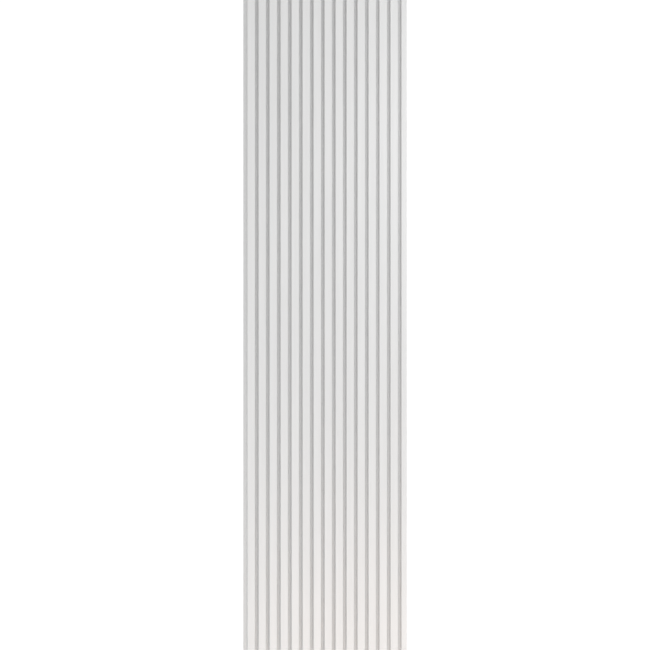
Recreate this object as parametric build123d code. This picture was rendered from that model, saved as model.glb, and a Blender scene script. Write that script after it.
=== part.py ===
from build123d import *
import os

# Acoustic slat panel: foil-wrapped slats side by side on one sheet of felt.
# It lies face up. X runs across the slats, Y along them and Z up through the thickness, in millimetres.
# The origin is the centre of the felt's underside.

# Panel
PANEL_LENGTH = 2400.0

# Felt backing. Its bare tongue left of the first slat sets the gap to the panel on that side.
FELT_THICKNESS = 9.0
TONGUE_WIDTH = 16.6

# Slats, counted from the tongue. The last one is the narrower edge slat, flush with the felt's right edge.
SLAT_COUNT = 15
SLAT_WIDTH = 27.4
SLAT_THICKNESS = 12.0
SLAT_GAP = 12.9
EDGE_SLAT_WIDTH = 19.2

# Round that the foil takes over a slat's two upper arrises
ARRIS_RADIUS = 1.0

# Worked out from the sizes above
SLAT_PITCH = SLAT_WIDTH + SLAT_GAP
FULL_SLATS = SLAT_COUNT - 1
PANEL_WIDTH = TONGUE_WIDTH + FULL_SLATS * SLAT_PITCH + EDGE_SLAT_WIDTH
FIRST_SLAT_LEFT = TONGUE_WIDTH - PANEL_WIDTH / 2
EDGE_SLAT_LEFT = FIRST_SLAT_LEFT + FULL_SLATS * SLAT_PITCH


def slat_section(width):
    """A slat's section, seen along Y: flat below and at the sides, with both upper arrises rounded."""
    with BuildSketch(Plane.XZ) as section:
        Rectangle(width, SLAT_THICKNESS, align=(Align.MIN, Align.MIN))
        # The sketch's own Y is the panel's Z.
        upper_corners = section.vertices().group_by(Axis.Y)[-1]
        fillet(upper_corners, ARRIS_RADIUS)
    return section.sketch


def slat(left, width):
    """One slat, the full length of the panel, lying on the felt with its left side at X = left."""
    bar = extrude(slat_section(width), amount=PANEL_LENGTH / 2, both=True)
    return Pos(left, 0, FELT_THICKNESS) * bar


def felt_backing():
    """The felt sheet that carries every slat and runs out past the first one as the tongue."""
    return Box(PANEL_WIDTH, PANEL_LENGTH, FELT_THICKNESS, align=(Align.CENTER, Align.CENTER, Align.MIN))


def panel_pieces():
    """Every piece of the panel by name."""
    pieces = {"felt_backing": felt_backing()}
    for index in range(FULL_SLATS):
        left = FIRST_SLAT_LEFT + index * SLAT_PITCH
        pieces[f"slat_{index + 1:02d}"] = slat(left, SLAT_WIDTH)
    pieces["edge_slat"] = slat(EDGE_SLAT_LEFT, EDGE_SLAT_WIDTH)
    return pieces


os.makedirs("parts", exist_ok=True)
for name, piece in panel_pieces().items():
    export_step(piece, f"parts/{name}.step")
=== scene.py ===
"""Finish, light and camera for the acoustic slat panel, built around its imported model, in metres."""

import math
import random

import bmesh
import bpy
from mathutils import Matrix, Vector, noise


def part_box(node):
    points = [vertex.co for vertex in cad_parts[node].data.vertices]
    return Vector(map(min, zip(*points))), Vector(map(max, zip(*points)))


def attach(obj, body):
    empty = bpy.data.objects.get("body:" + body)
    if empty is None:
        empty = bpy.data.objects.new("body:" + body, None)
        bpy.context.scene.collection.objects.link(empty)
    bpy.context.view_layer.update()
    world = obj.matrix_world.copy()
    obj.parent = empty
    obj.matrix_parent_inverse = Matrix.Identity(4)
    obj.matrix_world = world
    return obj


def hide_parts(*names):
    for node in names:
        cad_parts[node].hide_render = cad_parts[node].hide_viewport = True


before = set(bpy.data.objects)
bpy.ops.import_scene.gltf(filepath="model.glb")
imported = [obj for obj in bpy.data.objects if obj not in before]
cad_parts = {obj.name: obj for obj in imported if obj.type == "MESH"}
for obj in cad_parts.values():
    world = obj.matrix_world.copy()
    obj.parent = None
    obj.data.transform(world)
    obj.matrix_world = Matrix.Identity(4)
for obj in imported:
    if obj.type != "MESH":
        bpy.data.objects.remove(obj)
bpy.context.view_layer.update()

MM = 0.001
BODY = "root"
SEED = 7

# The panel as it is packed
FELT_NODE = "felt_backing"
FELT_LOW, FELT_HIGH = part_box(FELT_NODE)
SLAT_NODES = [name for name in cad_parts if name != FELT_NODE]
SLAT_NODES.sort(key=lambda name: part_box(name)[0].x)
SLAT_BOXES = [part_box(name) for name in SLAT_NODES]
SLAT_TOP = SLAT_BOXES[0][1].z
SLAT_PITCH = SLAT_BOXES[1][0].x - SLAT_BOXES[0][0].x
PANEL_LENGTH = FELT_HIGH.y - FELT_LOW.y

# Slats: a fibreboard bar wrapped in foil and sawn to length
ARRIS_RADIUS = 1.0 * MM
FOLD_RADIUS = 0.4 * MM
CORNER_STEPS = 6
SAW_CHAMFER = 0.15 * MM
FOIL_THICKNESS = 0.3 * MM
CORE_RECESS = 0.1 * MM

# Felt: how it swells beside the slats, how its cut edges round off, and its mesh lines
SWELL = 0.35 * MM
SWELL_REACH = 3.0 * MM
PRESS = 0.05 * MM
SURFACE_NOISE = 0.15 * MM
EDGE_NOISE = 0.3 * MM
NOISE_SCALE = 95.0
EDGE_ROUND = 0.8 * MM
EDGE_ANGLES = [math.radians(degrees) for degrees in (30, 60, 90)]
GAP_LINES = 5

# Staples shot through the felt into each slat, in rows across the panel
STAPLE_ROWS = 12
ROW_LENGTH = PANEL_LENGTH / STAPLE_ROWS
STAPLE_CROWN = 10 * MM
WIRE_WIDTH = 1.3 * MM
WIRE_HEIGHT = 0.6 * MM
STAPLE_LEG = 14 * MM
STAPLE_BEND = 0.8 * MM
BEND_STEPS = 4
STAPLE_SINK = 0.3 * MM
STAPLE_JITTER = 2.0 * MM
STAPLE_TURN = math.radians(7)

# Dimple that a staple pulls into the felt, and the mesh lines that it needs
DIMPLE_DEPTH = 1.1 * MM
DIMPLE_REACH_X = 6.5 * MM
DIMPLE_REACH_Y = 3.0 * MM
DIMPLE_COLUMNS = [offset * MM for offset in (-9, -6, -3, 0, 3, 6, 9)]
DIMPLE_ROWS = [offset * MM for offset in (-7, -4.5, -2.5, -0.8, 0.8, 2.5, 4.5, 7)]
ROW_SPACING = 26 * MM

# Finishes: the darker and the paler tone of each
FOIL_TONES = ((0.795, 0.795, 0.793), (0.825, 0.825, 0.823))
CORE_TONES = ((0.33, 0.225, 0.13), (0.60, 0.46, 0.31))
FELT_TONES = ((0.56, 0.56, 0.559), (0.8, 0.8, 0.799))
WIRE_TONES = ((0.50, 0.50, 0.49), (0.70, 0.70, 0.69))

# Relief of the finishes
FOIL_RELIEF = 0.012 * MM
CORE_RELIEF = 0.15 * MM
FELT_RELIEF = 0.3 * MM

# Felt fibres: each set's direction in degrees and its fineness, and how thin the threads are cut
FIBRE_SETS = ((8, 1300), (47, 1050), (84, 1500), (121, 1150), (160, 1400))
THREAD_CUT = 0.06

# Edges between faces that meet at more than this angle stay sharp
SHARP_ANGLE = math.radians(30)

# The photograph: 650 pixels across, with the first slat's left side at pixel 247.5 and 11 pixels a pitch
PHOTO_PIXELS = 650
FIRST_SLAT_PIXEL = 247.5
PITCH_PIXELS = 11.0
LENS = 50.0
SENSOR = 36.0

# Light: an even sky, and soft boxes at the panel's right, far to its left and by its lower end
WHITE = (1.0, 1.0, 1.0)
WARM = (1.0, 0.42, 0.05)
SKY_STRENGTH = 0.585
SOFT_BOXES = {
    "upper_soft_box": {
        "place": (0.9, 0.8, 1.2), "aim": (0.9, 0.8, 0), "size": 0.8, "power": 4.8, "colour": WHITE,
    },
    "lower_soft_box": {
        "place": (0.8, -2.4, 3.1), "aim": (0.8, -2.4, 0), "size": 1.2, "power": 39.0, "colour": WHITE,
    },
    "far_soft_box": {
        "place": (-8, 0, 4.8), "aim": (0, 0, 0), "size": 4.0, "power": 214.0, "colour": WHITE,
    },
    "warm_soft_box": {
        "place": (0.2, -1.5, 0.9), "aim": (0.2, -1.5, 0), "size": 0.6, "power": 0.75, "colour": WARM,
    },
}

# Floor: its side, its tone for light on its way, its tone as seen, and the glow that rises with distance
FLOOR_SIZE = 60.0
FLOOR_TONE = 0.8
SEEN_TONE = 0.58
NEAR_GLOW = 0.58
FAR_GLOW = 0.7
GLOW_START = 2.0
GLOW_END = 7.0


def new_material(name):
    """A material with nothing but its shader, as (material, node tree, shader)."""
    material = bpy.data.materials.new(name)
    material.use_nodes = True
    tree = material.node_tree
    return material, tree, tree.nodes["Principled BSDF"]


def connect(tree, value, socket):
    """Gives a socket a link or a value."""
    if isinstance(value, bpy.types.NodeSocket):
        tree.links.new(value, socket)
    else:
        socket.default_value = value


def node(tree, kind, inputs=None, **settings):
    """Adds a node, with its settings and what goes into its inputs."""
    made = tree.nodes.new(kind)
    for name, value in settings.items():
        setattr(made, name, value)
    for name, value in (inputs or {}).items():
        connect(tree, value, made.inputs[name])
    return made


def object_space(tree, scale=(1, 1, 1), turn=0.0):
    """Coordinates in metres, turned about Z and then stretched."""
    place = node(tree, "ShaderNodeTexCoord").outputs["Object"]
    turned = node(tree, "ShaderNodeMapping", {"Vector": place, "Rotation": (0, 0, turn)}).outputs["Vector"]
    return node(tree, "ShaderNodeMapping", {"Vector": turned, "Scale": scale}).outputs["Vector"]


def noise_field(tree, vector, scale, detail=2.0, roughness=0.5):
    """A noise texture's grey value."""
    inputs = {"Vector": vector, "Scale": scale, "Detail": detail, "Roughness": roughness}
    return node(tree, "ShaderNodeTexNoise", inputs).outputs["Fac"]


def remap(tree, value, source, target=(0.0, 1.0)):
    """The value with the source range spread over the target range, and clamped."""
    low, high = source
    to_low, to_high = target
    inputs = {"Value": value, "From Min": low, "From Max": high, "To Min": to_low, "To Max": to_high}
    return node(tree, "ShaderNodeMapRange", inputs).outputs["Result"]


def arithmetic(tree, operation, first, second=0.0):
    """One step of arithmetic on two values."""
    made = node(tree, "ShaderNodeMath", operation=operation)
    connect(tree, first, made.inputs[0])
    connect(tree, second, made.inputs[1])
    return made.outputs[0]


def weighted(tree, first, second, share):
    """The first field and the second one mixed, with this share of the first."""
    first_part = arithmetic(tree, "MULTIPLY", first, share)
    second_part = arithmetic(tree, "MULTIPLY", second, 1 - share)
    return arithmetic(tree, "ADD", first_part, second_part)


def colour_by(tree, shader, factor, tones):
    """Colours the surface between its darker and its paler tone by a grey factor."""
    darker, paler = tones
    ramp = node(tree, "ShaderNodeValToRGB", {"Fac": factor})
    ramp.color_ramp.elements[0].color = (*darker, 1)
    ramp.color_ramp.elements[1].color = (*paler, 1)
    tree.links.new(ramp.outputs["Color"], shader.inputs["Base Color"])


def relief(tree, shader, height, depth, strength):
    """Bumps the surface by a height field that runs from 0 to 1."""
    bump = node(tree, "ShaderNodeBump", {"Height": height, "Distance": depth, "Strength": strength})
    tree.links.new(bump.outputs["Normal"], shader.inputs["Normal"])


def foil_material():
    """White satin foil: a faint lengthwise drift in tone and a fine embossed grain."""
    material, tree, shader = new_material("white_foil")
    drift = noise_field(tree, object_space(tree, scale=(1, 0.03, 1)), scale=60, detail=3)
    colour_by(tree, shader, remap(tree, drift, source=(0.3, 0.7)), FOIL_TONES)
    grain = noise_field(tree, object_space(tree, scale=(1, 0.12, 1)), scale=1800, detail=3, roughness=0.6)
    speckle = noise_field(tree, object_space(tree), scale=3500, detail=1)
    gloss = remap(tree, grain, source=(0.3, 0.7), target=(0.5, 0.62))
    tree.links.new(gloss, shader.inputs["Roughness"])
    shader.inputs["Specular IOR Level"].default_value = 0.3
    relief(tree, shader, weighted(tree, grain, speckle, share=0.7), FOIL_RELIEF, strength=0.5)
    return material


def core_material():
    """Sawn fibreboard: tan, with fine pale and dark flecks."""
    material, tree, shader = new_material("sawn_fibreboard")
    flecks = noise_field(tree, object_space(tree, scale=(1, 1, 1.6)), scale=1500, detail=4, roughness=0.7)
    colour_by(tree, shader, remap(tree, flecks, source=(0.32, 0.68)), CORE_TONES)
    shader.inputs["Roughness"].default_value = 0.95
    relief(tree, shader, flecks, CORE_RELIEF, strength=0.8)
    return material


def fibre_strands(tree, degrees, fineness):
    """Threads that run one way through the felt: bright where a long drawn noise is near its middle."""
    along = object_space(tree, scale=(1, 0.1, 0.4), turn=math.radians(degrees))
    drawn = noise_field(tree, along, scale=fineness, detail=2, roughness=0.55)
    off_middle = arithmetic(tree, "ABSOLUTE", arithmetic(tree, "SUBTRACT", drawn, 0.5))
    return remap(tree, off_middle, source=(0.0, THREAD_CUT), target=(1.0, 0.0))


def felt_material():
    """Light grey needled felt: pale and dark fibres crossing each other, with a soft nap."""
    material, tree, shader = new_material("needled_felt")
    strands = 0.0
    for degrees, fineness in FIBRE_SETS:
        strands = arithmetic(tree, "MAXIMUM", strands, fibre_strands(tree, degrees, fineness))
    clumps = noise_field(tree, object_space(tree), scale=420, detail=4, roughness=0.6)
    mixed = weighted(tree, strands, clumps, share=0.5)
    colour_by(tree, shader, remap(tree, mixed, source=(0.35, 0.85)), FELT_TONES)
    shader.inputs["Roughness"].default_value = 0.95
    shader.inputs["Sheen Weight"].default_value = 0.15
    shader.inputs["Sheen Roughness"].default_value = 0.6
    relief(tree, shader, mixed, FELT_RELIEF, strength=0.8)
    return material


def wire_material():
    """Zinc-coated staple wire, slightly dulled."""
    material, tree, shader = new_material("zinc_wire")
    bloom = noise_field(tree, object_space(tree), scale=900, detail=3)
    colour_by(tree, shader, bloom, WIRE_TONES)
    gloss = remap(tree, bloom, source=(0.3, 0.7), target=(0.28, 0.5))
    tree.links.new(gloss, shader.inputs["Roughness"])
    shader.inputs["Metallic"].default_value = 1.0
    return material


def add_piece(name, vertices, faces, materials, face_materials=None):
    """A closed mesh that rides with the panel, in the finishes given."""
    mesh = bpy.data.meshes.new(name)
    mesh.from_pydata(vertices, [], faces)
    for material in materials:
        mesh.materials.append(material)
    if face_materials:
        mesh.polygons.foreach_set("material_index", face_materials)
    work = bmesh.new()
    work.from_mesh(mesh)
    bmesh.ops.recalc_face_normals(work, faces=work.faces)
    work.to_mesh(mesh)
    work.free()
    mesh.shade_smooth()
    mesh.set_sharp_from_angle(angle=SHARP_ANGLE)
    piece = bpy.data.objects.new(name, mesh)
    bpy.context.scene.collection.objects.link(piece)
    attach(piece, BODY)
    return piece


def add_points(vertices, points):
    """Adds points to a mesh's vertices and gives their numbers."""
    first = len(vertices)
    vertices.extend(points)
    return list(range(first, len(vertices)))


def strip(one, other):
    """The faces between two closed rings of vertex numbers."""
    return [(one[i - 1], one[i], other[i], other[i - 1]) for i in range(len(one))]


def bar(vertices, rings):
    """The faces of a closed bar through rings of points, with its two end faces last."""
    numbers = [add_points(vertices, ring) for ring in rings]
    sides = [face for pair in zip(numbers, numbers[1:]) for face in strip(*pair)]
    return sides + [tuple(numbers[0]), tuple(numbers[-1])]


def arc(centre_x, centre_z, radius, start):
    """A quarter turn anticlockwise from start degrees, as (x, z) points."""
    angles = [math.radians(start + 90 * step / CORNER_STEPS) for step in range(CORNER_STEPS + 1)]
    return [(centre_x + radius * math.cos(angle), centre_z + radius * math.sin(angle)) for angle in angles]


def slat_outline(low, high, inset):
    """A slat's section as (x, z), anticlockwise: foil folds below and arrises above, drawn in by inset."""
    left, right = low.x + inset, high.x - inset
    bottom, top = low.z + inset, high.z - inset
    fold = FOLD_RADIUS - inset
    arris = ARRIS_RADIUS - inset
    return (
        arc(right - fold, bottom + fold, fold, 270)
        + arc(right - arris, top - arris, arris, 0)
        + arc(left + arris, top - arris, arris, 90)
        + arc(left + fold, bottom + fold, fold, 180)
    )


def make_slat(node_name, foil, core):
    """One wrapped slat: the foil and its cut edges, and the sawn core sunk a hair at both ends."""
    low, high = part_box(node_name)
    near_end = [
        (FOIL_THICKNESS, low.y + CORE_RECESS),
        (FOIL_THICKNESS, low.y),
        (SAW_CHAMFER, low.y),
        (0.0, low.y + SAW_CHAMFER),
    ]
    far_end = [(inset, low.y + high.y - y) for inset, y in reversed(near_end)]
    rings = [[(x, y, z) for x, z in slat_outline(low, high, inset)] for inset, y in near_end + far_end]
    vertices = []
    faces = bar(vertices, rings)
    face_materials = [0] * (len(faces) - 2) + [1, 1]
    piece = add_piece("wrapped_" + node_name, vertices, faces, (foil, core), face_materials)
    flats = piece.modifiers.new("even_flats", "WEIGHTED_NORMAL")
    flats.keep_sharp = True
    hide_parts(node_name)


def place_staples():
    """Each staple as (x, y, turn), by slat and row: close to the slat's middle line."""
    draw = random.Random(SEED)
    places = {}
    for slat, (low, high) in enumerate(SLAT_BOXES):
        for row in range(STAPLE_ROWS):
            x = (low.x + high.x) / 2 + draw.uniform(-1, 1) * STAPLE_JITTER
            y = FELT_LOW.y + ROW_LENGTH * (row + 0.5) + draw.uniform(-1, 1) * STAPLE_JITTER
            places[slat, row] = (x, y, draw.uniform(-1, 1) * STAPLE_TURN)
    return places


def evenly(start, end, count):
    """count places from start to end, both included."""
    return [start + (end - start) * i / (count - 1) for i in range(count)]


def felt_columns():
    """The mesh lines across the felt: several in each gap, and some along the staples under each slat."""
    last = FELT_HIGH.x - EDGE_ROUND
    columns = evenly(FELT_LOW.x + EDGE_ROUND, SLAT_BOXES[0][0].x, GAP_LINES)
    for slat, (low, high) in enumerate(SLAT_BOXES):
        middle = (low.x + high.x) / 2
        under_slat = [middle + offset for offset in DIMPLE_COLUMNS]
        columns += [x for x in under_slat if low.x < x < min(high.x, last)]
        if slat + 1 < len(SLAT_BOXES):
            columns += evenly(high.x, SLAT_BOXES[slat + 1][0].x, GAP_LINES)
    return columns + [last]


def felt_rows():
    """The mesh lines along the felt: close together at each row of staples and wide apart between them."""
    first, last = FELT_LOW.y + EDGE_ROUND, FELT_HIGH.y - EDGE_ROUND
    rows = [first]
    for row in range(STAPLE_ROWS):
        middle = FELT_LOW.y + ROW_LENGTH * (row + 0.5)
        close = [middle + offset for offset in DIMPLE_ROWS]
        steps = math.ceil((close[0] - rows[-1]) / ROW_SPACING)
        rows += evenly(rows[-1], close[0], steps + 1)[1:-1] + close
    steps = math.ceil((last - rows[-1]) / ROW_SPACING)
    return rows + evenly(rows[-1], last, steps + 1)[1:]


def unevenness(x, y, layer):
    """Soft noise from about -1 to 1."""
    return noise.noise(Vector((x, y, layer)) * NOISE_SCALE)


def felt_top(x, y):
    """The height of the felt's upper face: pressed flat under the slats and a little swollen beside them."""
    clear = min(max(low.x - x, x - high.x) for low, high in SLAT_BOXES)
    if clear <= 0:
        return FELT_HIGH.z - PRESS
    rise = math.sin(min(clear / SWELL_REACH, 1) * math.pi / 2)
    return FELT_HIGH.z - PRESS + rise * (SWELL + SURFACE_NOISE * unevenness(x, y, 0))


def felt_underside(x, y, staples):
    """The height of the felt's back: almost flat, with a dimple at each staple."""
    slat = min(range(len(SLAT_BOXES)), key=lambda i: abs(SLAT_BOXES[i][0].x + SLAT_BOXES[i][1].x - 2 * x))
    row = min(int((y - FELT_LOW.y) / ROW_LENGTH), STAPLE_ROWS - 1)
    staple_x, staple_y, _ = staples[slat, row]
    reach = ((x - staple_x) / DIMPLE_REACH_X) ** 2 + ((y - staple_y) / DIMPLE_REACH_Y) ** 2
    return FELT_LOW.z + DIMPLE_DEPTH * math.exp(-reach) + SURFACE_NOISE * abs(unevenness(x, y, 1))


def grid_border(across, along):
    """The places round a grid's border, anticlockwise, as (column, row)."""
    below = [(column, 0) for column in range(across)]
    right = [(across - 1, row) for row in range(1, along)]
    above = [(column, along - 1) for column in range(across - 2, -1, -1)]
    left = [(0, row) for row in range(along - 2, 0, -1)]
    return below + right + above + left


def make_felt(staples, felt):
    """The felt sheet as one closed mesh: a grid above, one below and a soft, uneven cut edge between."""
    columns, rows = felt_columns(), felt_rows()
    across, along = len(columns), len(rows)
    border = grid_border(across, along)
    vertices = []
    top = add_points(vertices, [(x, y, felt_top(x, y)) for y in rows for x in columns])
    under = add_points(vertices, [(x, y, felt_underside(x, y, staples)) for y in rows for x in columns])

    def rim(grid, angle):
        """The points of the cut edge's round, at this angle from the face that it starts at."""
        outset = EDGE_ROUND * math.sin(angle)
        drop = EDGE_ROUND * (1 - math.cos(angle))
        points = []
        for column, row in border:
            x, y, z = vertices[grid[row * across + column]]
            uneven = outset - EDGE_NOISE * math.sin(angle) * abs(unevenness(x, y, z))
            to_x = (column == across - 1) - (column == 0)
            to_y = (row == along - 1) - (row == 0)
            points.append((x + to_x * uneven, y + to_y * uneven, z - drop if grid is top else z + drop))
        return points

    loops = [[top[row * across + column] for column, row in border]]
    loops += [add_points(vertices, rim(top, angle)) for angle in EDGE_ANGLES]
    loops += [add_points(vertices, rim(under, angle)) for angle in reversed(EDGE_ANGLES)]
    loops += [[under[row * across + column] for column, row in border]]
    faces = [face for pair in zip(loops, loops[1:]) for face in strip(*pair)]
    for grid in (top, under):
        for row in range(along - 1):
            for column in range(across - 1):
                corner = row * across + column
                ring = (corner, corner + 1, corner + across + 1, corner + across)
                faces.append(tuple(grid[i] for i in ring))
    piece = add_piece("felt_sheet", vertices, faces, (felt,))
    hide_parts(FELT_NODE)


def staple_path():
    """The bent wire's middle line, leg to leg, as (along, up, angle that its outer side faces)."""
    reach = STAPLE_CROWN / 2
    crown = FELT_LOW.z + STAPLE_SINK + WIRE_HEIGHT / 2
    leg_top = crown + STAPLE_LEG
    path = [(-reach, leg_top, math.pi)]
    for side, start in ((-1, math.pi), (1, 1.5 * math.pi)):
        for step in range(BEND_STEPS + 1):
            angle = start + math.pi / 2 * step / BEND_STEPS
            along = side * (reach - STAPLE_BEND) + STAPLE_BEND * math.cos(angle)
            path.append((along, crown + STAPLE_BEND * (1 + math.sin(angle)), angle))
    return path + [(reach, leg_top, 2 * math.pi)]


def wire_section():
    """The flattened wire's section, as (across, out), with its corners cut off."""
    across, out = WIRE_WIDTH / 2, WIRE_HEIGHT / 2
    cut = WIRE_HEIGHT / 4
    corners = [(-1, -1), (1, -1), (1, 1), (-1, 1)]
    points = []
    for side, face in corners:
        flat = (side * (across - cut), face * out)
        upright = (side * across, face * (out - cut))
        points += [flat, upright] if side * face < 0 else [upright, flat]
    return points


def make_staples(staples, wire):
    """Every staple that holds the slats from behind, as one mesh."""
    path, section = staple_path(), wire_section()
    vertices, faces = [], []
    for x, y, turn in staples.values():
        rings = []
        for along, up, angle in path:
            ring = []
            for across, out in section:
                reach = along + out * math.cos(angle)
                ring.append((
                    x + reach * math.cos(turn) - across * math.sin(turn),
                    y + reach * math.sin(turn) + across * math.cos(turn),
                    up + out * math.sin(angle),
                ))
            rings.append(ring)
        faces += bar(vertices, rings)
    add_piece("staples", vertices, faces, (wire,))


def seen_by_eye(tree):
    """1 for what the camera sees, straight on or through gloss and glass, and 0 for light on its way."""
    path = node(tree, "ShaderNodeLightPath").outputs
    through = arithmetic(tree, "MAXIMUM", path["Is Glossy Ray"], path["Is Transmission Ray"])
    return arithmetic(tree, "MAXIMUM", path["Is Camera Ray"], through)


def show_by_eye(tree, for_light, for_eye, output):
    """Sends one shader to the output for light on its way and another for what the camera sees."""
    mix = node(tree, "ShaderNodeMixShader", {"Fac": seen_by_eye(tree)})
    tree.links.new(for_light, mix.inputs[1])
    tree.links.new(for_eye, mix.inputs[2])
    tree.links.new(mix.outputs[0], tree.nodes[output].inputs["Surface"])


def matt(tree, tone):
    """A matt grey shader of one tone."""
    return node(tree, "ShaderNodeBsdfDiffuse", {"Color": (tone, tone, tone, 1)}).outputs["BSDF"]


def make_floor():
    """A wide floor that looks white out to the horizon and keeps the panel's faint shadow."""
    half = FLOOR_SIZE / 2
    corners = [(-half, -half, 0), (half, -half, 0), (half, half, 0), (-half, half, 0)]
    mesh = bpy.data.meshes.new("floor")
    mesh.from_pydata(corners, [], [(0, 1, 2, 3)])
    floor = bpy.data.objects.new("floor", mesh)
    bpy.context.scene.collection.objects.link(floor)
    material, tree, shader = new_material("white_paper")
    tree.nodes.remove(shader)
    plain = matt(tree, FLOOR_TONE)
    shaded = matt(tree, SEEN_TONE)
    place = node(tree, "ShaderNodeTexCoord").outputs["Object"]
    away = node(tree, "ShaderNodeVectorMath", {"Vector": place}, operation="LENGTH").outputs["Value"]
    strength = remap(tree, away, source=(GLOW_START, GLOW_END), target=(NEAR_GLOW, FAR_GLOW))
    glow = node(tree, "ShaderNodeEmission", {"Strength": strength}).outputs["Emission"]
    seen = node(tree, "ShaderNodeAddShader")
    tree.links.new(shaded, seen.inputs[0])
    tree.links.new(glow, seen.inputs[1])
    show_by_eye(tree, plain, seen.outputs[0], "Material Output")
    mesh.materials.append(material)


def make_sky():
    """An even sky that lights the panel softly, and that the camera sees as white."""
    world = bpy.data.worlds.new("studio")
    world.use_nodes = True
    tree = world.node_tree
    soft = tree.nodes["Background"]
    soft.inputs["Color"].default_value = (*WHITE, 1)
    soft.inputs["Strength"].default_value = SKY_STRENGTH
    white = node(tree, "ShaderNodeBackground", {"Color": (*WHITE, 1), "Strength": 1.0})
    show_by_eye(tree, soft.outputs[0], white.outputs[0], "World Output")
    bpy.context.scene.world = world


def make_soft_box(name, place, aim, size, power, colour):
    """A square lamp that faces a point and that the camera doesn't see."""
    lamp = bpy.data.lights.new(name, "AREA")
    lamp.size = size
    lamp.energy = power
    lamp.color = colour
    light = bpy.data.objects.new(name, lamp)
    light.location = place
    light.rotation_mode = "QUATERNION"
    light.rotation_quaternion = (Vector(aim) - Vector(place)).to_track_quat("-Z", "Y")
    light.visible_camera = False
    bpy.context.scene.collection.objects.link(light)


def make_camera():
    """A camera straight above the panel, framed as the photograph is, so that both ends pass its edges."""
    pixel = SLAT_PITCH / PITCH_PIXELS
    middle = SLAT_BOXES[0][0].x + (PHOTO_PIXELS / 2 - FIRST_SLAT_PIXEL) * pixel
    lens = bpy.data.cameras.new("camera")
    lens.lens = LENS
    lens.sensor_width = SENSOR
    camera = bpy.data.objects.new("camera", lens)
    camera.location = (middle, 0, SLAT_TOP + LENS / SENSOR * PHOTO_PIXELS * pixel)
    bpy.context.scene.collection.objects.link(camera)
    bpy.context.scene.camera = camera


foil = foil_material()
core = core_material()
for slat_node in SLAT_NODES:
    make_slat(slat_node, foil, core)
staple_places = place_staples()
make_felt(staple_places, felt_material())
make_staples(staple_places, wire_material())
make_floor()
make_sky()
for box_name, facts in SOFT_BOXES.items():
    make_soft_box(box_name, **facts)
make_camera()
bpy.context.scene.view_settings.view_transform = "Standard"
